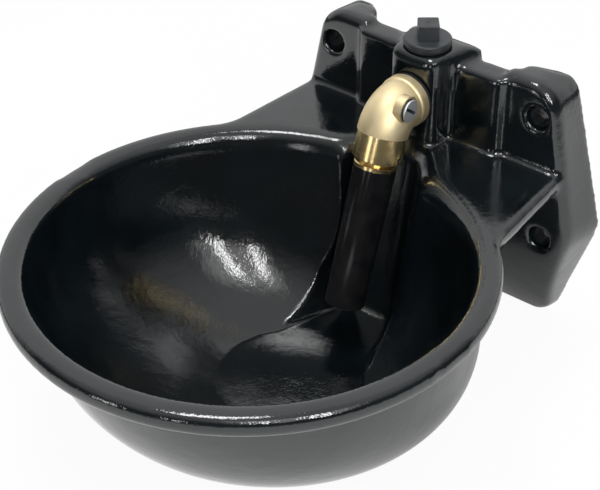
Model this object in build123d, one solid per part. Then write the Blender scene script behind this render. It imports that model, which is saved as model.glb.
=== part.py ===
"""Livestock drinking bowl: enamelled cast iron bowl with a brass tube valve.

Millimetres. X runs to the right seen from the animal's side, +Y goes into the wall and Z is up.
The origin lies on the wall plane, midway between the two upper wall holes.
"""
import os
from math import cos, radians, sin, tan

from build123d import *

# ---- casting: levels and plan --------------------------------------------------------------
RIM_Z = -30.5              # top face of the rim and of the two shoulders
RIM_DEPTH = 12.0           # thickness of the rim and shoulders
BOWL_Y = -189.0            # centre of the mouth, out from the wall plane
MOUTH_R = 115.3            # inner radius of the mouth
RIM_R = 130.5              # outer radius of the rim
CASTING_DEPTH = 112.0      # rim top to the outside of the bottom
FLOOR_DEPTH = 105.0        # rim top to the inside floor
WALL_R = 118.0             # outer radius of the wall just under the rim
DOME_POWER = 3.2           # fullness of the outside, 2 would be an ellipse
HOLLOW_POWERS = (3.6, 1.5)  # the same for the inside, towards the rim and towards the floor
BOTTOM_SHIFT = 25.6        # how far the bottom lies nearer to the wall than the mouth
FLOOR_SHIFT = 28.0
FLOOR_R = 42.0             # flat part of the floor
REAR_INSET = 7.0           # how much the rear inner wall is flatter than a circle
NECK_HALF_W = 88.5         # half width across the shoulders where they reach the flange
NECK_FLARE = 6.0           # extra half width where they leave the round rim
NECK_START = 88.0          # distance of that place from the centre of the mouth
NECK_FILLET = 26.0
RIM_EDGE_R, RIM_FOOT_R = 4.5, 5.0
MOUTH_EDGE_R = 2.0
OVERLAP = 4.0              # how far joined forms run into each other
BIG = 300.0                # size of a cutting block that is larger than the part

# ---- casting: throat behind the valve tube --------------------------------------------------
THROAT_TOP = [(62.0, -112.0), (14.0, -54.0)]      # half width and Y, front and back, at the rim
THROAT_FLOOR = [(53.0, -175.0), (16.0, -84.0)]    # the same at the floor
THROAT_WALL = 7.0
THROAT_CORNER_R = 9.0
THROAT_SLANT = (1.25, 0.8)  # sideways growth of its front and rear per millimetre of wall
WEB_X, WEB_T = 30.0, 7.0   # two upright webs between the bowl and the flange
WEB_OUTLINE = [(-70.0, -3.0), (-27.6, -3.0), (-27.6, -75.0), (-84.0, -95.0)]   # Y, height over the rim

# ---- casting: wall flange --------------------------------------------------------------------
FACE_Y = -30.6             # front face of the two ears
PANEL_Y = -35.0            # front face of the thicker middle panel
PANEL_HALF_W = 47.0
PANEL_BEVEL = 4.4
PANEL_TOP = 17.5
PANEL_HEIGHT = 98.0
FLANGE_WALL = 7.0
FRONT_OUTLINE = [(79.5, 21.0), (97.5, -71.0), (78.0, -133.0), (70.0, -141.0)]
BACK_OUTLINE = [(76.5, 19.0), (101.5, -74.0), (80.0, -140.0), (72.0, -146.5)]
CORNER_RADII = [18.0, 28.0, 12.0, 12.0]
FACE_BEND_Z = -68.0        # below this level the front face curves back to the wall
FACE_BEND_R = 143.0
UPPER_HOLE_X = 70.6
LOWER_HOLE_X = 78.5
LOWER_HOLE_Z = -76.5
HOLE_R = 7.0
HOLE_BOSS_R = 13.0
FLANGE_EDGE_R = 6.0
PIPE_NOTCH_HALF_W, PIPE_NOTCH_Y = 24.0, -45.0      # opening for a pipe from below, open to the wall

# ---- casting: water column --------------------------------------------------------------------
PORT_Y = -35.3             # axis of the upright water passage
COLUMN_HALF_W = 16.2
COLUMN_CORNER_R = 7.0
COLUMN_TOP = 24.5
COLUMN_FOOT = -92.0
CAP_REAR_HALF_W, CAP_REAR_Y = 24.0, -14.0
CAP_FOOT = 2.0
G_HALF_R = 9.32            # root radius of a G 1/2 inside thread
THREAD_LENGTH = 20.0
INLET_DEPTH = 12.2         # depth of the side port that takes the elbow
PASSAGE_R = 7.5

# ---- plug in the upper port ---------------------------------------------------------------------
PLUG_DISC_R, PLUG_DISC_T = 13.6, 3.2
PLUG_SHANK = 13.0
PLUG_HOLLOW_R, PLUG_HOLLOW_ROOF = 6.5, 3.0
PLUG_HEAD_AF = 11.8
PLUG_HEAD_TURN = 39.0
PLUG_TOP = 38.5
PLUG_DIMPLE_R = 1.6
PLUG_GASKET_T = 1.6

# ---- valve body -----------------------------------------------------------------------------------
VALVE_Z = -2.5             # inlet axis of the elbow
ELBOW_Y = -72.0            # where the inlet axis and the tube axis cross
LEAN = 18.5                # the tube leans this many degrees out of plumb, foot towards the bowl
ELBOW_R = 14.6
ELBOW_BEND = 16.0
ELBOW_BORE = 9.4
ELBOW_BORE_FROM = 3.0
INLET_LENGTH = 13.0
COLLAR_R, COLLAR_W, COLLAR_EDGE_R = 15.4, 6.5, 2.2
GASKET_T = 2.0
SPIGOT_R = 11.9
SPIGOT_END = 17.5          # valve stations are distances down the tube axis from the crossing
SPRING_POCKET_R = 6.0
SPRING_POCKET_END = 4.0
SPRING_TOP = -9.5
SCREW_Y, SCREW_Z = -70.5, 3.0
SCREW_FACE_X = 15.2
SCREW_HEAD_R, SCREW_HEAD_T = 6.6, 2.5
SCREW_SHANK_R = 4.0
SCREW_TIP_X = 7.5
SCREW_SLOT_W, SCREW_SLOT_DEPTH, SCREW_SLOT_TURN = 1.8, 1.2, -38.0
SCREW_PAD_R, SCREW_PAD_X, SCREW_PAD_T = 8.1, 13.2, 5.0
SCREW_POCKET_X, SCREW_BORE_X = 10.9, 4.0
ORING_X, ORING_GROOVE_W, ORING_GROOVE_DEPTH, ORING_WIRE_R = 10.0, 1.2, 0.95, 0.46

# ---- plunger and seat -------------------------------------------------------------------------------
SEAT_AT = 12.0
SEAT_BUSH_END = 17.3
SEAT_BORE, SEAT_LIP_R, SEAT_LIP_H = 4.5, 6.0, 0.6
SEAT_RING_FROM, SEAT_RING_TO, SEAT_RING_DEPTH, SEAT_RING_WIRE_R = 14.0, 15.8, 1.7, 0.84
PLUNGER_R = 7.2
PLUNGER_TOP = 8.6
SPRING_GUIDE_R, SPRING_GUIDE_H = 2.8, 3.0
FIN_REACH, FIN_T, FIN_H = 4.35, 1.2, 4.2
DISC_T = 1.6
STEM_R = 2.4
STEM_GAP = 0.5             # between the stem and the ball at rest
SPRING_R, SPRING_WIRE_R, SPRING_TURNS = 4.0, 0.5, 7

# ---- tube, its ball head and nut ----------------------------------------------------------------------
NUT_R = 14.1
NUT_FROM, NUT_TO = 11.6, 27.1
NUT_CHAMFER = 0.6
PIN_R, PIN_AT, PIN_FROM, PIN_RECESS = 1.5, 23.6, 12.1, 0.35
BALL_AT = 21.5
BALL_R = 11.0
BALL_TOP = 19.5
CUP_T = 0.85
CUP_FROM, CUP_TO = 19.5, 26.5
NECK_R = 8.2
HEAD_COLLAR_R = 12.2
HEAD_COLLAR_FROM, HEAD_COLLAR_TO = 29.6, 31.9
HEAD_SPIGOT_END = 41.0
HEAD_BORE, HEAD_BORE_FROM = 5.4, 24.0
HEAD_PORT_R, HEAD_PORT_AT = 1.7, 5.0
TUBE_R_TOP, TUBE_R_END = 12.3, 11.6
TUBE_BORE = 9.3
SLEEVE_FROM, SLEEVE_LAP, TUBE_END = 99.0, 8.0, 116.7
SLEEVE_STEP, SLEEVE_EDGE_R = 1.15, 0.8
FIT = 0.05                 # radial clearance of a running fit

ON_FOOT = (Align.CENTER, Align.CENTER, Align.MIN)
HUNG = (Align.CENTER, Align.CENTER, Align.MAX)
BEHIND_HUNG = (Align.CENTER, Align.MIN, Align.MAX)
BOSS_FACE = PORT_Y - COLUMN_HALF_W
BALL_SEAT_R = BALL_R + CUP_T + 2 * FIT
BEND_REACH = ELBOW_BEND * tan(radians((90 - LEAN) / 2))

os.makedirs("parts", exist_ok=True)

tube_axis = Plane(origin=(0, ELBOW_Y, VALVE_Z), x_dir=(1, 0, 0),
                  z_dir=(0, sin(radians(LEAN)), cos(radians(LEAN))))


def bar(radius, start, end, hole=0.0):
    """Bar or ring on the tube axis, between two stations, in the tube's own frame."""
    solid = Pos(0, 0, -end) * Cylinder(radius, end - start, align=ON_FOOT)
    if hole:
        solid -= Pos(0, 0, -end) * Cylinder(hole, end - start, align=ON_FOOT)
    return solid


def taper(radius_start, radius_end, start, end):
    """Cone on the tube axis, between two stations, in the tube's own frame."""
    return Pos(0, 0, -end) * Cone(radius_end, radius_start, end - start, align=ON_FOOT)


def out_x(radius, start, end):
    """Bar along the axis of the flow screw, between two X positions."""
    solid = Cylinder(radius, end - start, align=ON_FOOT)
    return Pos(start, SCREW_Y, SCREW_Z) * Rot(0, 90, 0) * solid


def upright(radius, x, y, low, high):
    return Pos(x, y, low) * Cylinder(radius, high - low, align=ON_FOOT)


def along_y(radius, x, z, y_from, y_to):
    solid = Cylinder(radius, y_to - y_from, align=ON_FOOT)
    return Pos(x, y_from, z) * Rot(-90, 0, 0) * solid


def across(radius, y, z):
    return Pos(0, y, z) * Rot(0, 90, 0) * Cylinder(radius, BIG)


def mirrored(points):
    """Closed ring of plan or outline points from its right half, listed from one end to the other."""
    return points + [(-x, y) for x, y in reversed(points)]


# ---- casting ---------------------------------------------------------------------------------------
def bowl_outside():
    """Dome under the rim: round sections that shrink and move towards the wall as they go down."""
    depth = CASTING_DEPTH - RIM_DEPTH
    sections = [Pos(0, BOWL_Y, RIM_Z - OVERLAP) * Circle(WALL_R)]
    for degrees in (10, 24, 38, 50, 62, 72, 80):
        t = sin(radians(degrees)) ** (2 / DOME_POWER)
        r = WALL_R * cos(radians(degrees)) ** (2 / DOME_POWER)
        sections.append(Pos(0, BOWL_Y + BOTTOM_SHIFT * t, RIM_Z - RIM_DEPTH - depth * t) * Circle(r))
    return loft(sections)


def bowl_hollow():
    """Inside of the bowl: full at the front, flatter at the rear, ending in a flat round floor."""
    sections = []
    upper, lower = HOLLOW_POWERS
    for t in (0.0, 0.14, 0.3, 0.46, 0.6, 0.73, 0.84, 0.93, 1.0):
        r = FLOOR_R + (MOUTH_R - FLOOR_R) * (1 - t ** upper) ** (1 / lower)
        inset = REAR_INSET * 4 * t * (1 - t)
        centre = BOWL_Y + FLOOR_SHIFT * t - inset
        sections.append(Pos(0, centre, RIM_Z - FLOOR_DEPTH * t) * Ellipse(r, r - inset))
    mouth = Pos(0, BOWL_Y, RIM_Z) * extrude(Circle(MOUTH_R), OVERLAP)
    return loft(sections) + mouth


def throat(grow, top, low):
    """Wedge behind the valve tube, narrowing to the rear and sloping with the tube."""
    faces = []
    front_slant, rear_slant = THROAT_SLANT
    for level in (top, low):
        share = (RIM_Z - level) / FLOOR_DEPTH
        (front_w, front_y), (back_w, back_y) = [
            (w0 + (w1 - w0) * share, y0 + (y1 - y0) * share)
            for (w0, y0), (w1, y1) in zip(THROAT_TOP, THROAT_FLOOR)]
        half = [(front_w + front_slant * grow, front_y), (back_w + rear_slant * grow, back_y + grow)]
        outline = make_face(Polyline(mirrored(half), close=True))
        rear_corners = outline.vertices().sort_by(Axis.Y)[-2:]
        faces.append(Pos(0, 0, level) * fillet(rear_corners, THROAT_CORNER_R + grow))
    return loft(faces)


def top_plate():
    """Rim and the two shoulders that run back to the flange, as one rounded plate."""
    neck = [(NECK_HALF_W + NECK_FLARE, BOWL_Y + NECK_START), (NECK_HALF_W, FACE_Y + OVERLAP)]
    plan = Circle(RIM_R) + Pos(0, -BOWL_Y) * make_face(Polyline(mirrored(neck), close=True))
    inner_corners = [v for v in plan.vertices() if MOUTH_R / 2 < v.Y < MOUTH_R]
    plan = Pos(0, BOWL_Y, RIM_Z) * fillet(inner_corners, NECK_FILLET)
    plate = extrude(plan, -RIM_DEPTH)
    for level, radius in ((RIM_Z, RIM_EDGE_R), (RIM_Z - RIM_DEPTH, RIM_FOOT_R)):
        edges = plate.edges().filter_by_position(Axis.Z, level - 0.01, level + 0.01)
        plate = fillet([e for e in edges if e.center().Y < FACE_Y + OVERLAP / 2], radius)
    return plate


def outline_face(points, inset, y):
    """Flange outline on a plane parallel to the wall; an inset moves every edge inwards."""
    half = [(x - inset, z + (inset if z < FACE_BEND_Z else -inset)) for x, z in points]
    face = make_face(Polyline(mirrored(half), close=True))
    for (x, z), radius in zip(half, CORNER_RADII):
        corners = [v for v in face.vertices() if abs(abs(v.X) - x) < 0.01 and abs(v.Y - z) < 0.01]
        face = fillet(corners, max(radius - inset, 3))
    return Pos(0, y, 0) * Rot(90, 0, 0) * face


def flange_block(inset):
    """Flange between its front face and the wall plane; an inset gives the hollow behind it."""
    front = FACE_Y + inset
    block = loft([outline_face(BACK_OUTLINE, inset, 0), outline_face(FRONT_OUTLINE, inset, FACE_Y)])
    bend_centre = front + FACE_BEND_R - inset
    bend = across(FACE_BEND_R - inset, bend_centre, FACE_BEND_Z)
    above = Pos(0, front, FACE_BEND_Z) * Box(BIG, BIG, BIG, align=(Align.CENTER, Align.MIN, Align.MIN))
    below = Pos(0, 0, FACE_BEND_Z) * Box(BIG, BIG, BIG, align=HUNG)
    return (block & above) + (block & bend & below)


def rounded_flange():
    """Outer form of the flange, its front edges rounded above the bend."""
    block = flange_block(0)
    front = block.edges().filter_by_position(Axis.Y, FACE_Y - 0.1, FACE_Y + 0.1)
    front = front.filter_by_position(Axis.Z, FACE_BEND_Z + 1, 60)
    return fillet(front, FLANGE_EDGE_R)


def hole_places():
    return [(side * x, z) for side in (-1, 1) for x, z in ((UPPER_HOLE_X, 0), (LOWER_HOLE_X, LOWER_HOLE_Z))]


def wall_flange():
    """Hollow flange with two ears, a thicker and lower middle panel, and four bolt bosses."""
    outer = rounded_flange()
    flange = outer
    panel_half = [(PANEL_HALF_W + PANEL_BEVEL, FACE_Y), (PANEL_HALF_W, PANEL_Y)]
    panel_plan = make_face(Polyline(mirrored(panel_half), close=True))
    flange += Pos(0, 0, PANEL_TOP - PANEL_HEIGHT) * extrude(panel_plan, PANEL_HEIGHT)
    flange -= Pos(0, 0, PANEL_TOP) * Box(2 * PANEL_HALF_W, BIG, BIG, align=ON_FOOT)
    under_panel = Pos(0, 0, PANEL_TOP - FLANGE_WALL) * Box(BIG, BIG, BIG, align=HUNG)
    flange -= flange_block(FLANGE_WALL) & under_panel
    for x, z in hole_places():
        flange += along_y(HOLE_BOSS_R, x, z, FACE_Y + 2, 0) & outer
    return flange


def water_column():
    """Upright boss with the two pipe ports, and the broad cap that ties it into the flange."""
    section = RectangleRounded(2 * COLUMN_HALF_W, 2 * COLUMN_HALF_W, COLUMN_CORNER_R)
    column = Pos(0, PORT_Y, COLUMN_FOOT) * extrude(section, COLUMN_TOP - COLUMN_FOOT)
    cap_half = [(COLUMN_HALF_W, BOSS_FACE + COLUMN_HALF_W / 2), (CAP_REAR_HALF_W, CAP_REAR_Y)]
    cap_plan = make_face(Polyline(mirrored(cap_half), close=True))
    return column + Pos(0, 0, CAP_FOOT) * extrude(cap_plan, COLUMN_TOP - CAP_FOOT)


def on_mouth_edge(edge):
    """True for the edges where the bowl and throat break through the rim's top face."""
    box = edge.bounding_box()
    level = abs(box.min.Z - RIM_Z) < 0.02 and abs(box.max.Z - RIM_Z) < 0.02
    within = max(-box.min.X, box.max.X) < MOUTH_R + 0.2 and box.min.Y > BOWL_Y - MOUTH_R - 0.7
    return level and within and box.max.Y < THROAT_TOP[1][1] + 0.1


def web(side):
    """Upright web that ties the bowl to the flange."""
    outline = make_face(Polyline([(y, RIM_Z + height) for y, height in WEB_OUTLINE], close=True))
    return Pos(side * WEB_X, 0, 0) * Rot(0, 0, 90) * Rot(90, 0, 0) * extrude(outline, WEB_T / 2, both=True)


def port_cuts():
    """Upright water passage with its two threaded ends, and the side port for the elbow."""
    low = upright(G_HALF_R, 0, PORT_Y, COLUMN_FOOT - 1, COLUMN_FOOT + THREAD_LENGTH)
    high = upright(G_HALF_R, 0, PORT_Y, COLUMN_TOP - THREAD_LENGTH, COLUMN_TOP + 1)
    passage = upright(PASSAGE_R, 0, PORT_Y, COLUMN_FOOT, COLUMN_TOP)
    inlet = along_y(G_HALF_R, 0, VALVE_Z, BOSS_FACE - 1, BOSS_FACE + INLET_DEPTH)
    return low + high + passage + inlet


def casting():
    body = bowl_outside() + throat(THROAT_WALL, RIM_Z - OVERLAP / 2, RIM_Z - CASTING_DEPTH) + top_plate()
    for side in (-1, 1):
        body += web(side)
    body += water_column()
    body += wall_flange()
    body -= bowl_hollow() + throat(0, RIM_Z + OVERLAP, RIM_Z - FLOOR_DEPTH)
    body -= Pos(0, PIPE_NOTCH_Y, COLUMN_FOOT) * Box(2 * PIPE_NOTCH_HALF_W, BIG, BIG, align=BEHIND_HUNG)
    body -= port_cuts()
    for x, z in hole_places():
        body -= along_y(HOLE_R, x, z, 2 * PANEL_Y, 1)
    return fillet(body.edges().filter_by(on_mouth_edge), MOUTH_EDGE_R)


# ---- plug ---------------------------------------------------------------------------------------
def top_plug():
    """Plastic plug: shank in the upper port, round flange and a square head for a spanner."""
    seat = COLUMN_TOP + PLUG_GASKET_T
    foot = COLUMN_TOP - PLUG_SHANK
    flange = upright(PLUG_DISC_R, 0, PORT_Y, seat, seat + PLUG_DISC_T)
    flange = fillet(flange.edges().group_by(Axis.Z)[-1], 1.2)
    shank = upright(G_HALF_R - FIT, 0, PORT_Y, foot, seat)
    shank -= upright(PLUG_HOLLOW_R, 0, PORT_Y, foot, COLUMN_TOP - PLUG_HOLLOW_ROOF)
    square = RectangleRounded(PLUG_HEAD_AF, PLUG_HEAD_AF, 0.8)
    head = Pos(0, PORT_Y, seat) * Rot(0, 0, PLUG_HEAD_TURN) * extrude(square, PLUG_TOP - seat)
    head = chamfer(head.edges().group_by(Axis.Z)[-1], 0.5)
    dimple = Pos(0, PORT_Y, PLUG_TOP + 1.0) * Sphere(PLUG_DIMPLE_R)
    return flange + shank + head - dimple


def top_plug_gasket():
    ring = upright(PLUG_DISC_R - 0.6, 0, PORT_Y, COLUMN_TOP, COLUMN_TOP + PLUG_GASKET_T)
    return ring - upright(G_HALF_R + 0.2, 0, PORT_Y, COLUMN_TOP, COLUMN_TOP + PLUG_GASKET_T)


# ---- valve body ---------------------------------------------------------------------------------
def valve_elbow():
    """Brass body: threaded inlet, collar against the gasket, bend, and a spigot for the nut."""
    back = BOSS_FACE - GASKET_T
    knee_in = (ELBOW_Y + BEND_REACH, VALVE_Z)
    knee_out = (ELBOW_Y - BEND_REACH * sin(radians(LEAN)), VALVE_Z - BEND_REACH * cos(radians(LEAN)))
    bend = TangentArc(knee_in, knee_out, tangent=(-1, 0))
    side_view = Plane.YZ
    path = side_view * (Line((back, VALVE_Z), knee_in) + bend)
    inlet_end = Plane(origin=(0, back, VALVE_Z), x_dir=(1, 0, 0), z_dir=(0, -1, 0))
    body = sweep(inlet_end * Circle(ELBOW_R), path)
    collar = along_y(COLLAR_R, 0, VALVE_Z, back - COLLAR_W, back)
    body += fillet(collar.edges().sort_by(Axis.Y)[0], COLLAR_EDGE_R)
    body += along_y(G_HALF_R - FIT, 0, VALVE_Z, back, back + INLET_LENGTH)
    body += tube_axis * bar(SPIGOT_R, BEND_REACH - 0.5, SPIGOT_END)
    body += out_x(SCREW_PAD_R, SCREW_PAD_X - SCREW_PAD_T, SCREW_PAD_X)
    body -= along_y(PASSAGE_R, 0, VALVE_Z, ELBOW_Y, back + INLET_LENGTH + 1)
    body -= tube_axis * bar(ELBOW_BORE, ELBOW_BORE_FROM, SPIGOT_END + 1)
    body -= tube_axis * bar(SPRING_POCKET_R, SPRING_TOP, SPRING_POCKET_END)
    body -= out_x(SCREW_SHANK_R + FIT, SCREW_BORE_X, SCREW_FACE_X)
    return body - out_x(SCREW_HEAD_R + 0.15, SCREW_POCKET_X, SCREW_FACE_X)


def elbow_gasket():
    ring = along_y(COLLAR_R - 0.2, 0, VALVE_Z, BOSS_FACE - GASKET_T, BOSS_FACE)
    return ring - along_y(G_HALF_R + 0.1, 0, VALVE_Z, BOSS_FACE - GASKET_T, BOSS_FACE)


def flow_screw():
    """Slotted screw that throttles the water; its groove carries the O-ring."""
    under_head = SCREW_FACE_X - SCREW_HEAD_T
    head = out_x(SCREW_HEAD_R, under_head, SCREW_FACE_X)
    head = fillet(head.edges().sort_by(Axis.X)[-1], 0.6)
    slot = Box(2 * SCREW_SLOT_DEPTH, 2 * SCREW_HEAD_R - 1.8, SCREW_SLOT_W)
    slot = Pos(SCREW_FACE_X, SCREW_Y, SCREW_Z) * Rot(SCREW_SLOT_TURN, 0, 0) * slot
    shank = out_x(SCREW_SHANK_R, SCREW_TIP_X, under_head)
    groove_ends = (ORING_X - ORING_GROOVE_W / 2, ORING_X + ORING_GROOVE_W / 2)
    groove = out_x(SCREW_SHANK_R + 1, *groove_ends) - out_x(SCREW_SHANK_R - ORING_GROOVE_DEPTH, *groove_ends)
    return head + shank - slot - groove


def flow_screw_oring():
    ring = Torus(SCREW_SHANK_R + 0.01 - ORING_WIRE_R, ORING_WIRE_R)
    return Pos(ORING_X, SCREW_Y, SCREW_Z) * Rot(0, 90, 0) * ring


# ---- plunger and seat -----------------------------------------------------------------------------
def seat_bush():
    """Ring in the spigot with a raised lip that the rubber disc closes on."""
    face = SEAT_AT + SEAT_LIP_H
    bush = bar(ELBOW_BORE - FIT, face, SEAT_BUSH_END, hole=SEAT_BORE)
    lip = bar(SEAT_LIP_R, SEAT_AT, face, hole=SEAT_BORE)
    groove = bar(ELBOW_BORE + 1, SEAT_RING_FROM, SEAT_RING_TO, hole=ELBOW_BORE - SEAT_RING_DEPTH)
    return tube_axis * (bush + lip - groove)


def seat_oring():
    middle = (SEAT_RING_FROM + SEAT_RING_TO) / 2
    ring = Torus(ELBOW_BORE - 0.02 - SEAT_RING_WIRE_R, SEAT_RING_WIRE_R)
    return tube_axis * (Pos(0, 0, -middle) * ring)


def valve_plunger():
    """Plate, spring guide and stem with three guide fins that let the water past."""
    plate_end = SEAT_AT - DISC_T
    plunger = bar(PLUNGER_R, PLUNGER_TOP, plate_end)
    plunger += bar(SPRING_GUIDE_R, PLUNGER_TOP - SPRING_GUIDE_H, PLUNGER_TOP)
    plunger += bar(STEM_R, plate_end, BALL_TOP - STEM_GAP)
    for turn in (0, 120, 240):
        fin = Box(FIN_REACH, FIN_T, FIN_H, align=(Align.MIN, Align.CENTER, Align.MAX))
        plunger += Rot(0, 0, turn) * Pos(0, 0, -SEAT_AT - 0.8) * fin
    return tube_axis * plunger


def valve_disc():
    return tube_axis * bar(PLUNGER_R, SEAT_AT - DISC_T, SEAT_AT, hole=STEM_R + FIT)


def return_spring():
    """Compression spring from the roof of the elbow down to the plunger."""
    low, high = -PLUNGER_TOP + SPRING_WIRE_R, -SPRING_TOP - SPRING_WIRE_R
    coil = Helix(pitch=(high - low) / SPRING_TURNS, height=high - low, radius=SPRING_R)
    wire = Plane(origin=coil @ 0, z_dir=coil % 0) * RegularPolygon(SPRING_WIRE_R, 8)
    return tube_axis * (Pos(0, 0, low) * sweep(wire, coil, is_frenet=True))


# ---- nut, ball joint and tube -----------------------------------------------------------------------
def tube_nut():
    """Turned nut on the spigot; its lower half is the socket for the ball."""
    nut = bar(NUT_R, NUT_FROM, NUT_TO)
    nut = chamfer(nut.edges().sort_by(Axis.Z)[0], NUT_CHAMFER)
    nut -= bar(BALL_SEAT_R, NUT_FROM, BALL_AT) + Pos(0, 0, -BALL_AT) * Sphere(BALL_SEAT_R)
    return tube_axis * (nut - pin_bar(BALL_R, NUT_R + 1))


def pin_bar(start, end):
    return Pos(start, 0, -PIN_AT) * Rot(0, 90, 0) * Cylinder(PIN_R, end - start, align=ON_FOOT)


def nut_pin():
    """Small pin in the side of the nut."""
    return tube_axis * pin_bar(PIN_FROM, NUT_R - PIN_RECESS)


def pivot_cup():
    """Slippery liner between the ball and its socket."""
    shell = Sphere(BALL_R + FIT + CUP_T) - Sphere(BALL_R + FIT)
    return tube_axis * (Pos(0, 0, -BALL_AT) * shell & bar(2 * BALL_R, CUP_FROM, CUP_TO))


def tube_head():
    """Brass ball, neck and collar with a spigot for the tube; four ports lead the water down."""
    ball = Pos(0, 0, -BALL_AT) * Sphere(BALL_R) & bar(20, BALL_TOP, BALL_AT + 20)
    head = ball + bar(NECK_R, BALL_AT, HEAD_COLLAR_FROM + 0.5)
    collar = bar(HEAD_COLLAR_R, HEAD_COLLAR_FROM, HEAD_COLLAR_TO)
    head += chamfer(collar.edges().sort_by(Axis.Z)[-1], 0.4)
    head += bar(TUBE_BORE - FIT, HEAD_COLLAR_TO - 1, HEAD_SPIGOT_END)
    head -= bar(HEAD_BORE, HEAD_BORE_FROM, HEAD_SPIGOT_END)
    for turn in (45, 135, 225, 315):
        head -= Rot(0, 0, turn) * Pos(HEAD_PORT_AT, 0, 0) * bar(HEAD_PORT_R, BALL_TOP, HEAD_BORE_FROM + 1)
    return tube_axis * head


def valve_tube():
    """Tapered plastic tube that the animal's muzzle pushes aside."""
    tube = taper(TUBE_R_TOP, TUBE_R_END, HEAD_COLLAR_TO, SLEEVE_FROM)
    tube += bar(TUBE_R_END - SLEEVE_STEP, SLEEVE_FROM, SLEEVE_FROM + SLEEVE_LAP)
    return tube_axis * (tube - bar(TUBE_BORE, HEAD_COLLAR_TO, TUBE_END))


def tube_end_sleeve():
    """Wear sleeve pushed over the foot of the tube."""
    sleeve = bar(TUBE_R_END, SLEEVE_FROM, TUBE_END)
    sleeve = fillet(sleeve.edges().sort_by(Axis.Z)[0], SLEEVE_EDGE_R)
    sleeve -= bar(TUBE_R_END - SLEEVE_STEP + FIT, SLEEVE_FROM, SLEEVE_FROM + SLEEVE_LAP)
    return tube_axis * (sleeve - bar(TUBE_BORE, SLEEVE_FROM, TUBE_END))


PIECES = {
    "bowl_casting": casting, "top_plug": top_plug, "top_plug_gasket": top_plug_gasket,
    "valve_elbow": valve_elbow, "elbow_gasket": elbow_gasket, "flow_screw": flow_screw,
    "flow_screw_oring": flow_screw_oring, "seat_bush": seat_bush, "seat_oring": seat_oring,
    "valve_plunger": valve_plunger, "valve_disc": valve_disc, "return_spring": return_spring,
    "tube_nut": tube_nut, "nut_pin": nut_pin, "pivot_cup": pivot_cup, "tube_head": tube_head,
    "valve_tube": valve_tube, "tube_end_sleeve": tube_end_sleeve,
}

for node, make in PIECES.items():
    export_step(make(), f"parts/{node}.step")
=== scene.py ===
"""Drinking bowl with a hanging-tube valve: finishes, softened casting, studio and camera."""
from math import cos, hypot, pi, radians, sin

import bpy
from mathutils import Matrix, Vector

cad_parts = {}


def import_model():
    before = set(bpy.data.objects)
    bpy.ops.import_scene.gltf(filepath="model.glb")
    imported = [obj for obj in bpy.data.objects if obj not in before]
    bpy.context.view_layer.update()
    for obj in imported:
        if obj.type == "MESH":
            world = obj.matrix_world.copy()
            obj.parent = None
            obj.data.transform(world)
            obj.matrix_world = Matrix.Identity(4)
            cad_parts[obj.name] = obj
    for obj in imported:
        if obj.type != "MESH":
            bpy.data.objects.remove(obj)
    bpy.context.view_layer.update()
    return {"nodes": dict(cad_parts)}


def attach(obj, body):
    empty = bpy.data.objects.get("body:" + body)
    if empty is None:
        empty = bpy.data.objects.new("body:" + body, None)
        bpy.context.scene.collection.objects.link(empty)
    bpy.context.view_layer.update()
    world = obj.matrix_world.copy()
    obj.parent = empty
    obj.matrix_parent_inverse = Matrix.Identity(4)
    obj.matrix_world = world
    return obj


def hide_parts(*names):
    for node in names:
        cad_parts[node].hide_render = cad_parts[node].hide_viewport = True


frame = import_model()
NODES = frame["nodes"]
SLOT_FLOOR, SLOT_SHADE_BAND = 0.0141, 0.0003     # X just over the screw slot's bottom, and the width over which the painted shade in the slot fades out
LEAN = radians(18.5)                       # lean of the valve tube from upright


# ---- finishes --------------------------------------------------------------------------------
class Value:
    """A number that varies over a surface; arithmetic on it adds Math nodes."""

    def __init__(self, sheet, socket):
        self.sheet = sheet
        self.socket = socket

    def math(self, operation, first, second):
        return self.sheet.add("ShaderNodeMath", {"operation": operation}, {0: first, 1: second})

    def __add__(self, other):
        return self.math("ADD", self, other)

    def __radd__(self, other):
        return self.math("ADD", other, self)

    def __mul__(self, other):
        return self.math("MULTIPLY", self, other)

    def __rmul__(self, other):
        return self.math("MULTIPLY", other, self)


class NodeSheet:
    """The nodes of one finish or of the room."""

    def __init__(self, owner):
        owner.use_nodes = True
        self.tree = owner.node_tree

    def add(self, kind, settings=None, inputs=None, output=0):
        """Adds a node: its settings first, then its sockets' values or links."""
        node = self.tree.nodes.new(kind)
        for name, value in (settings or {}).items():
            if name == "stops":
                for stop, (position, colour) in zip(node.color_ramp.elements, value):
                    stop.position = position
                    stop.color = (*colour, 1)
            else:
                setattr(node, name, value)
        for socket, value in (inputs or {}).items():
            if isinstance(value, Value):
                self.tree.links.new(value.socket, node.inputs[socket])
            else:
                node.inputs[socket].default_value = value
        return Value(self, node.outputs[output])

    def along(self, vector, direction):
        """How far a point or a direction reaches along another direction."""
        sockets = {0: vector, 1: direction}
        return self.add("ShaderNodeVectorMath", {"operation": "DOT_PRODUCT"}, sockets, "Value")

    def away_from(self, point):
        sockets = {0: self.place, 1: point}
        return self.add("ShaderNodeVectorMath", {"operation": "DISTANCE"}, sockets, "Value")

    def ramp(self, value, start, end, first=0.0, last=1.0):
        """Goes from first to last, and stays there, as a value goes from start to end."""
        return self.add("ShaderNodeMapRange", {}, {"Value": value, "From Min": start, "From Max": end,
                                                   "To Min": first, "To Max": last}, "Result")

    def larger(self, first, second):
        return self.add("ShaderNodeMath", {"operation": "MAXIMUM"}, {0: first, 1: second})


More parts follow.
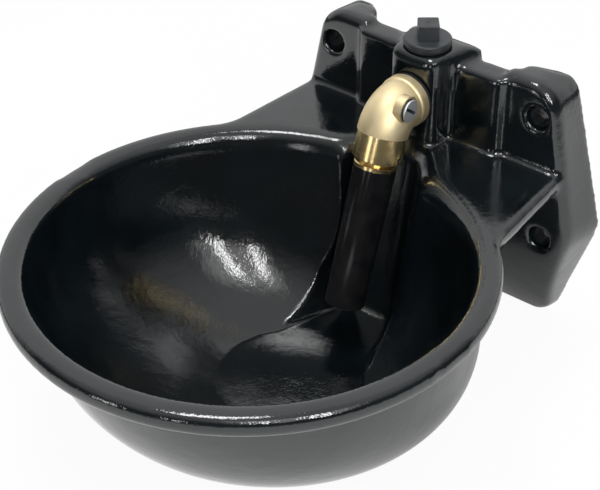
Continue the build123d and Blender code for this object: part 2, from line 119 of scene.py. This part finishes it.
class Finish(NodeSheet):
    """One surface finish: a Principled shader and the nodes that vary it."""

    def __init__(self, name, **constants):
        self.material = bpy.data.materials.new(name)
        super().__init__(self.material)
        self.shader = self.tree.nodes["Principled BSDF"]
        for socket, value in constants.items():
            self.shader.inputs[socket.replace("_", " ")].default_value = value
        self.place = self.add("ShaderNodeTexCoord", output="Object")

    def noise(self, scale, detail=2.0, roughness=0.5, place=None):
        return self.add("ShaderNodeTexNoise", {}, {"Vector": place or self.place, "Scale": scale,
                                                   "Detail": detail, "Roughness": roughness}, "Fac")

    def between(self, fraction, low, high):
        """Colour that goes from low to high as the fraction goes from 0.3 to 0.7."""
        stops = [(0.3, low), (0.7, high)]
        return self.add("ShaderNodeValToRGB", {"stops": stops}, {"Fac": fraction}, "Color")

    def blended(self, fraction, first, second):
        """Colour mixed from two others."""
        return self.add("ShaderNodeMix", {"data_type": "RGBA"}, {0: fraction, 6: first, 7: second}, 2)

    def relief(self, height, depth, strength=1.0, under=None):
        """Bumps the surface by a height; another bump may lie under it."""
        sockets = {"Height": height, "Distance": depth, "Strength": strength}
        if under:
            sockets["Normal"] = under
        return self.add("ShaderNodeBump", {}, sockets, "Normal")

    def feed(self, **sockets):
        for name, value in sockets.items():
            self.tree.links.new(value.socket, self.shader.inputs[name.replace("_", " ")])
        return self.material


def enamel():
    """Black glass enamel over cast iron: gloss, orange peel and the slow waves of the casting."""
    finish = Finish("black_enamel", IOR=1.74)
    waves = finish.noise(38.0, 2.0)
    peel = finish.noise(330.0, 2.0, 0.45)
    grain = finish.noise(1150.0, 1.0)
    patch = finish.noise(30.0, 3.0)
    slow = finish.relief(waves, 0.0013, 0.4)
    skin = finish.relief(peel, 0.00022, 0.42, slow)
    fine = finish.relief(grain, 0.0001, 0.6, skin)
    return finish.feed(Base_Color=finish.between(patch, (0.0022, 0.0038, 0.0048), (0.0058, 0.0090, 0.0108)),
                       Roughness=0.045 + 0.04 * grain + 0.04 * patch,
                       Normal=fine)


def blasted_brass():
    """Pale brass with a fine blasted grain."""
    finish = Finish("blasted_brass", Metallic=1.0)
    grain = finish.noise(2600.0, 3.0, 0.6)
    stain = finish.noise(110.0, 3.0)
    return finish.feed(Base_Color=finish.between(stain, (0.88, 0.72, 0.42), (0.95, 0.82, 0.54)),
                       Roughness=0.44 + 0.16 * grain,
                       Normal=finish.relief(grain, 0.00012, 0.5))


def turned_brass():
    """Bright brass with the fine rings that a lathe leaves, square to the tube."""
    finish = Finish("turned_brass", Metallic=1.0)
    upright = finish.add("ShaderNodeMapping", {}, {"Vector": finish.place, "Rotation": (LEAN, 0, 0)},
                         "Vector")
    stretched = finish.add("ShaderNodeMapping", {}, {"Vector": upright, "Scale": (0.02, 0.02, 1.0)},
                           "Vector")
    rings = finish.noise(5200.0, 2.0, place=stretched)
    stain = finish.noise(160.0, 3.0)
    return finish.feed(Base_Color=finish.between(stain, (0.93, 0.69, 0.31), (0.98, 0.80, 0.42)),
                       Roughness=0.20 + 0.10 * rings,
                       Normal=finish.relief(rings, 0.00003, 0.5))


def zinc():
    """Pale zinc plating with a faint mottle, and painted shade: dark colour in the bottom of the screw's
    slot that stands in for its shadow.
    """
    finish = Finish("zinc_plate", Metallic=1.0)
    mottle = finish.noise(900.0, 3.0)
    # painted shade: below this depth the slot is coloured near black instead of being darkened by its own
    # shadow
    painted_slot_shade = finish.ramp(finish.along(finish.place, (1, 0, 0)), SLOT_FLOOR, SLOT_FLOOR + SLOT_SHADE_BAND)
    bright = finish.between(mottle, (0.80, 0.82, 0.84), (0.90, 0.92, 0.94))
    return finish.feed(Base_Color=finish.blended(painted_slot_shade, (0.05, 0.06, 0.07, 1), bright),
                       Roughness=0.42 + 0.16 * mottle,
                       Normal=finish.relief(mottle, 0.00004, 0.4))


def moulded(name, low, high, roughness, spread, depth):
    """Moulded plastic or rubber with a fine skin."""
    finish = Finish(name)
    skin = finish.noise(1500.0, 3.0, 0.6)
    tone = finish.noise(120.0, 2.0)
    return finish.feed(Base_Color=finish.between(tone, low, high),
                       Roughness=roughness + spread * skin,
                       Normal=finish.relief(skin, depth, 0.5))


def spring_wire():
    finish = Finish("spring_wire", Metallic=1.0)
    drawn = finish.noise(3000.0, 2.0)
    return finish.feed(Base_Color=finish.between(drawn, (0.52, 0.53, 0.54), (0.66, 0.67, 0.68)),
                       Roughness=0.2 + 0.15 * drawn,
                       Normal=finish.relief(drawn, 0.00002, 0.4))


ENAMEL = enamel()
BLASTED = blasted_brass()
TURNED = turned_brass()
ZINC = zinc()
RUBBER = moulded("black_rubber", (0.010, 0.010, 0.010), (0.020, 0.020, 0.020), 0.62, 0.15, 0.00008)
PLUG_PLASTIC = moulded("plug_plastic", (0.024, 0.028, 0.032), (0.040, 0.045, 0.050), 0.33, 0.15, 0.0001)
ACETAL = moulded("white_acetal", (0.70, 0.69, 0.65), (0.80, 0.79, 0.75), 0.4, 0.1, 0.00003)
TUBE_PLASTIC = moulded("tube_plastic", (0.006, 0.006, 0.007), (0.012, 0.012, 0.013), 0.10, 0.08, 0.00002)
WIRE = spring_wire()

FINISH_OF = {
    "bowl_casting": ENAMEL, "top_plug": PLUG_PLASTIC, "top_plug_gasket": RUBBER, "valve_elbow": BLASTED,
    "elbow_gasket": RUBBER, "flow_screw": ZINC, "flow_screw_oring": RUBBER, "seat_bush": ACETAL,
    "seat_oring": RUBBER, "valve_plunger": TURNED, "valve_disc": RUBBER, "return_spring": WIRE,
    "tube_nut": TURNED, "nut_pin": ZINC, "pivot_cup": ACETAL, "tube_head": TURNED,
    "valve_tube": TUBE_PLASTIC, "tube_end_sleeve": TUBE_PLASTIC,
}


def dress(piece, material):
    piece.data.materials.clear()
    piece.data.materials.append(material)


for node, material in FINISH_OF.items():
    dress(NODES[node], material)


# ---- casting ---------------------------------------------------------------------------------
MM = 0.001                                      # the casting's numbers are in millimetres
MOUTH_Y, RIM_TOP = -189.0, -30.5                # centre of the mouth and level of the rim
RIM_FOOT = RIM_TOP - 12.1                       # level where the bowl starts under the rim
MOUTH_R, FLOOR_R = 115.3, 41.5
FLOOR_DEPTH, BOTTOM_DEPTH = 105.0, 99.9         # inside from the rim's top, outside from its foot
FLOOR_SHIFT = 30.0                              # how much nearer to the wall the floor lies than the mouth
REAR_FLATNESS = 28.0
THROAT_SIDE = ((62.0, -112.0), (14.0, -54.0))   # plan of the throat's side at the rim, front and rear
THROAT_FOOT = ((41.0, -147.0), (17.0, -83.0))   # the same at the floor
THROAT_CORNER, THROAT_WALL = 8.0, 5.5
SOLID_DOME, REAL_DOME = (3.2, 25.6, 118.0), (3.12, 27.5, 117.6)    # fullness, shift and radius
SLOT_X = (24.5, 51.0)                           # the flange's open top, between the cap and an ear
RAIL_REAR, CAP_REAR = -18.5, -13.5              # Y of the rear of the front rail and of the cap
CUT_FOOT, CUT_TOP, PAST_WALL = 4, 40, 3         # Z of the cutters' foot and top, Y behind the wall plane
EAR_FALL = 22.6                                 # degrees that the ears' tops fall to the wall
EAR_CORNER = ((49, -14), (49, 4), (66, 4))      # plan of what is cut from an ear's inner rear corner
LIP_PASSES, CAP_PASSES, SKIN_PASSES = 30, 12, 13
FACETS_KEPT = 0.38
VOXEL = 0.0013


def only(piece):
    """Makes one object the selected and active one."""
    bpy.ops.object.select_all(action="DESELECT")
    bpy.context.view_layer.objects.active = piece
    piece.select_set(True)


def finished(piece):
    """Applies every modifier in turn."""
    only(piece)
    for modifier in list(piece.modifiers):
        bpy.ops.object.modifier_apply(modifier=modifier.name)


def settled(name):
    """Names the new object and moves its place, turn and size into its mesh, faces outwards."""
    piece = bpy.context.object
    piece.name = name
    bpy.ops.object.mode_set(mode="OBJECT")
    bpy.ops.object.transform_apply(location=True, rotation=True, scale=True)
    bpy.ops.object.mode_set(mode="EDIT")
    bpy.ops.mesh.select_all(action="SELECT")
    bpy.ops.mesh.normals_make_consistent(inside=False)
    bpy.ops.object.mode_set(mode="OBJECT")
    return piece


def round_chain(name, rings):
    """Closed solid through level round rings, each given as x radius, y radius, y centre, height in mm."""
    wide, deep, y, z = rings[0]
    bpy.ops.object.select_all(action="DESELECT")
    bpy.ops.mesh.primitive_circle_add(vertices=128, radius=MM, fill_type="NGON")
    bpy.ops.object.mode_set(mode="EDIT")
    bpy.ops.mesh.select_all(action="SELECT")
    bpy.ops.transform.resize(value=(wide, deep, 1), center_override=(0, 0, 0))
    bpy.ops.transform.translate(value=(0, y * MM, z * MM))
    for next_wide, next_deep, next_y, next_z in rings[1:]:
        step = (0, (next_y - y) * MM, (next_z - z) * MM)
        bpy.ops.mesh.extrude_region_move(TRANSFORM_OT_translate={"value": step})
        bpy.ops.transform.resize(value=(next_wide / wide, next_deep / deep, 1),
                                 center_override=(0, next_y * MM, next_z * MM))
        wide, deep, y, z = next_wide, next_deep, next_y, next_z
    return settled(name)


def stretched_over(name, discs, both_sides=True):
    """Closed skin stretched over level discs, each given as x, y, height and radius in mm."""
    bpy.ops.object.select_all(action="DESELECT")
    sides = (1, -1) if both_sides else (1,)
    places = [(side * x, y, z, r) for x, y, z, r in discs for side in sides]
    for number, (x, y, z, r) in enumerate(places):
        bpy.ops.mesh.primitive_circle_add(vertices=32, radius=r * MM, location=(x * MM, y * MM, z * MM))
        if number == 0:
            first = bpy.context.object
            bpy.ops.object.transform_apply(location=True, rotation=True, scale=True)
            bpy.ops.object.mode_set(mode="EDIT")
    bpy.ops.mesh.select_all(action="SELECT")
    bpy.ops.mesh.convex_hull()
    bpy.context.view_layer.objects.active = first
    return settled(name)


def block(name, low, high, lean=0.0):
    """Box between two corners in mm, leant back about its own centre line."""
    bpy.ops.object.select_all(action="DESELECT")
    centre = [(a + b) / 2 * MM for a, b in zip(low, high)]
    bpy.ops.mesh.primitive_cube_add(size=1.0, location=centre, rotation=(radians(lean), 0, 0))
    bpy.context.object.scale = [(b - a) * MM for a, b in zip(low, high)]
    return settled(name)


def cut(piece, cutter):
    """Takes a cutter away from a piece and throws the cutter away."""
    boolean = piece.modifiers.new("cut", "BOOLEAN")
    boolean.operation = "DIFFERENCE"
    boolean.solver = "EXACT"
    boolean.object = cutter
    finished(piece)
    bpy.data.objects.remove(cutter)


def reskinned(piece):
    """Gives a piece one even skin."""
    skin = piece.modifiers.new("skin", "REMESH")
    skin.mode = "VOXEL"
    skin.voxel_size = VOXEL
    finished(piece)


def grown_together(piece, parts):
    """Joins overlapping solids and gives them one common skin."""
    only(piece)
    for part in parts:
        part.select_set(True)
    bpy.ops.object.join()
    reskinned(piece)


def dome_rings(full, shift, widest, grow=0.0):
    """Rings down the outside of the bowl; a higher power makes it fuller."""
    rings = []
    for degrees in (*range(0, 80, 3), 80, 82, 84, 86, 88):
        share = sin(radians(degrees)) ** (2 / full)
        radius = widest * cos(radians(degrees)) ** (2 / full) + grow
        rings.append((radius, radius, MOUTH_Y + shift * share, RIM_FOOT - BOTTOM_DEPTH * share))
    return rings


def hollow_rings():
    """Rings down the inside of the bowl: rolled lip, full wall and a round flat floor."""
    rings = []
    for lift, widen in ((6.0, 9.0), (0.02, 5.0), (-0.7, 3.0), (-2.4, 1.2), (-5.2, 0.2)):
        radius = MOUTH_R + widen
        rings.append((radius, radius, MOUTH_Y, RIM_TOP + lift))
    for level in [step / 32 for step in range(3, 33)]:
        radius = FLOOR_R + (MOUTH_R - FLOOR_R) * (1 - level ** 2.9) ** 0.952
        inset = REAR_FLATNESS * level * (1 - level)
        centre = MOUTH_Y + FLOOR_SHIFT * level - inset
        rings.append((radius, radius - inset, centre, RIM_TOP - FLOOR_DEPTH * level))
    return rings


def throat_skin(name, grow, top, floor):
    """Wedge behind the valve tube; grown, it is the throat's outer wall."""
    discs = []
    for level, side in ((top, THROAT_SIDE), (floor, THROAT_FOOT)):
        for x, y in side:
            discs.append((x - THROAT_CORNER, y - THROAT_CORNER, level, THROAT_CORNER + grow))
    return stretched_over(name, discs)


def mouth_gap(x, y):
    """Distance in plan from the edge of the mouth, negative inside it."""
    (x1, y1), (x2, y2) = THROAT_SIDE
    length = hypot(x2 - x1, y2 - y1)
    beside = ((abs(x) - x1) * (y2 - y1) - (y - y1) * (x2 - x1)) / length
    return min(hypot(x, y - MOUTH_Y) - MOUTH_R, max(beside, y - y2))


def eased(piece, wanted, passes):
    """Rounds the edges among the vertices whose place in mm is wanted."""
    only(piece)
    bpy.ops.object.mode_set(mode="EDIT")
    bpy.ops.mesh.select_all(action="DESELECT")
    bpy.ops.object.mode_set(mode="OBJECT")
    for vertex in piece.data.vertices:
        x, y, z = vertex.co / MM
        vertex.select = wanted(x, y, z)
    bpy.ops.object.mode_set(mode="EDIT")
    bpy.ops.mesh.select_mode(type="VERT")
    bpy.ops.mesh.vertices_smooth(factor=0.5, repeat=passes)
    bpy.ops.object.mode_set(mode="OBJECT")


def on_lip(x, y, z):
    return z > RIM_TOP - 10 and abs(mouth_gap(x, y)) < 8 and y < -50


def on_cap(x, y, z):
    return z > 8 and abs(x) < 30


def enamelled_casting():
    """Iron casting under its enamel: softer edges and rolled lip, creased floor, open flange top."""
    piece = bpy.data.objects.new("enamelled_casting", NODES["bowl_casting"].data.copy())
    bpy.context.scene.collection.objects.link(piece)
    only(piece)
    bpy.ops.object.mode_set(mode="EDIT")
    bpy.ops.mesh.select_all(action="SELECT")
    bpy.ops.mesh.remove_doubles(threshold=0.00002)
    bpy.ops.object.mode_set(mode="OBJECT")
    cut(piece, round_chain("old_dome", dome_rings(*SOLID_DOME, 1.2) + [(30, 30, -163, -150)]))
    for side in (-1, 1):
        near, far = sorted((side * SLOT_X[0], side * SLOT_X[1]))
        cut(piece, block("slot_cutter", (near, RAIL_REAR, CUT_FOOT), (far, PAST_WALL, CUT_TOP)))
    cut(piece, block("cap_back_cutter", (-25, CAP_REAR, CUT_FOOT), (25, PAST_WALL, CUT_TOP)))
    cut(piece, block("ear_back_cutter", (-120, -22, 17.5), (120, 16, 43), -EAR_FALL))
    for side in (-1, 1):
        corner = [(side * x, y, z, 1.0) for z in (2, CUT_TOP) for x, y in EAR_CORNER]
        cut(piece, stretched_over("ear_corner_cutter", corner, both_sides=False))
    dome = round_chain("dome", dome_rings(*REAL_DOME))
    outer_throat = throat_skin("outer_throat", THROAT_WALL, RIM_TOP - 4, -140)
    grown_together(piece, [dome, outer_throat])
    cut(piece, round_chain("hollow", hollow_rings()))
    cut(piece, throat_skin("throat", 0.0, RIM_TOP + 6, RIM_TOP - FLOOR_DEPTH))
    reskinned(piece)
    eased(piece, on_lip, LIP_PASSES)
    eased(piece, on_cap, CAP_PASSES)
    smooth = piece.modifiers.new("smooth", "SMOOTH")
    smooth.factor = 0.5
    smooth.iterations = SKIN_PASSES
    thin = piece.modifiers.new("thin", "DECIMATE")
    thin.ratio = FACETS_KEPT
    finished(piece)
    only(piece)
    bpy.ops.object.shade_smooth()
    dress(piece, ENAMEL)
    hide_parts("bowl_casting")
    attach(piece, "casting")


enamelled_casting()


# ---- studio ----------------------------------------------------------------------------------
FLOOR_LEVEL = -0.1468
TABLE_CENTRE, TABLE_EDGE = (0.0, -0.05, 0.0), (0.45, 0.85)     # the table fades between these radii
BOWL_SHADE, SHADE_EDGE = (0.07, -0.09, 0.0), (0.07, 0.13)      # shaded patch of table behind the bowl
BACKDROP_SIDE = (-0.6216, 0.7833, 0.0)
LAMPS_AIM = (0.0, -0.15, -0.05)


def softbox(name, place, width, height, power):
    """Rectangular lamp that faces the bowl."""
    lamp = bpy.data.lights.new(name, "AREA")
    lamp.shape = "RECTANGLE"
    lamp.size = width
    lamp.size_y = height
    lamp.energy = power
    holder = bpy.data.objects.new(name, lamp)
    bpy.context.scene.collection.objects.link(holder)
    holder.location = place
    direction = Vector(LAMPS_AIM) - holder.location
    holder.rotation_euler = direction.to_track_quat("-Z", "Y").to_euler()


def floor():
    """White table that falls off to a dark room; the camera sees it white all over."""
    bpy.ops.object.select_all(action="DESELECT")
    bpy.ops.mesh.primitive_plane_add(size=6.0, location=(0, 0, FLOOR_LEVEL))
    plane = bpy.context.object
    plane.name = "floor"
    finish = Finish("pale_floor", Roughness=0.9)
    table = finish.ramp(finish.away_from(TABLE_CENTRE), *TABLE_EDGE, 1.0, 0.0)
    shade = finish.blended(table, (0.12, 0.12, 0.12, 1), (0.95, 0.95, 0.95, 1))
    dress(plane, finish.feed(Base_Color=shade))
    glow = finish.add("ShaderNodeEmission", {}, {"Color": (1, 1, 1, 1), "Strength": 1.0}, "Emission")
    camera_sees = finish.add("ShaderNodeLightPath", output="Is Camera Ray") * 0.94
    clear_of_bowl = finish.ramp(finish.away_from(BOWL_SHADE), *SHADE_EDGE)
    gloss_sees = finish.add("ShaderNodeLightPath", output="Is Glossy Ray") * (table * clear_of_bowl * 0.95)
    white = camera_sees + gloss_sees
    lit = Value(finish, finish.shader.outputs[0])
    mixed = finish.add("ShaderNodeMixShader", {}, {0: white, 1: lit, 2: glow}, "Shader")
    finish.tree.links.new(mixed.socket, finish.tree.nodes["Material Output"].inputs["Surface"])


def world():
    """Room: white backdrop behind the object, grey overhead, dark on the side that looks at it."""
    room = bpy.data.worlds.new("studio")
    bpy.context.scene.world = room
    sheet = NodeSheet(room)
    direction = sheet.add("ShaderNodeTexCoord", output="Generated")
    backdrop = sheet.ramp(sheet.along(direction, BACKDROP_SIDE), 0.05, 0.45)
    overhead = sheet.ramp(sheet.along(direction, (0, 0, 1)), 0.35, 0.9, 0.0, 0.6)
    seen = sheet.add("ShaderNodeLightPath", output="Is Camera Ray")
    strength = sheet.larger(sheet.larger(backdrop * 0.9, overhead + 0.08), seen)
    background = sheet.tree.nodes["Background"]
    background.inputs["Color"].default_value = (1, 1, 1, 1)
    sheet.tree.links.new(strength.socket, background.inputs["Strength"])


def lamp_at(name, azimuth, elevation, distance, width, height, power):
    """Soft lamp at a compass angle round the bowl, facing it."""
    turn, lift = radians(azimuth), radians(elevation)
    reach = (cos(turn) * cos(lift), sin(turn) * cos(lift), sin(lift))
    place = [aim + distance * part for aim, part in zip(LAMPS_AIM, reach)]
    softbox(name, place, width, height, power)


floor()
world()
lamp_at("key_softbox", -32, 40, 1.5, 1.1, 0.9, 3.6)
lamp_at("tube_right", -24, 36, 1.35, 0.07, 0.8, 4.2)
lamp_at("tube_left", -47, 36, 1.35, 0.05, 0.6, 2.6)
lamp_at("low_left", -106, 1, 1.3, 0.14, 0.6, 1.5)
lamp_at("low_front", -78, 2, 1.3, 0.06, 0.6, 0.8)
softbox("overhead", (-0.25, -0.2, 1.4), 0.55, 0.28, 6.0)

camera_data = bpy.data.cameras.new("camera")
camera_data.sensor_width = 36.0
camera_data.lens = 95.013
camera_data.shift_x = -0.03408
camera_data.shift_y = -0.01048
camera = bpy.data.objects.new("camera", camera_data)
bpy.context.scene.collection.objects.link(camera)
AZIMUTH, ELEVATION, ROLL = radians(38.442), radians(35.649), radians(0.085)
camera.matrix_world = (Matrix.Translation((0.438387, -0.683441, 0.450663))
                       @ Matrix.Rotation(AZIMUTH, 4, "Z")
                       @ Matrix.Rotation(pi / 2 - ELEVATION, 4, "X")
                       @ Matrix.Rotation(ROLL, 4, "Z"))
bpy.context.scene.camera = camera
bpy.context.scene.view_settings.view_transform = "Standard"
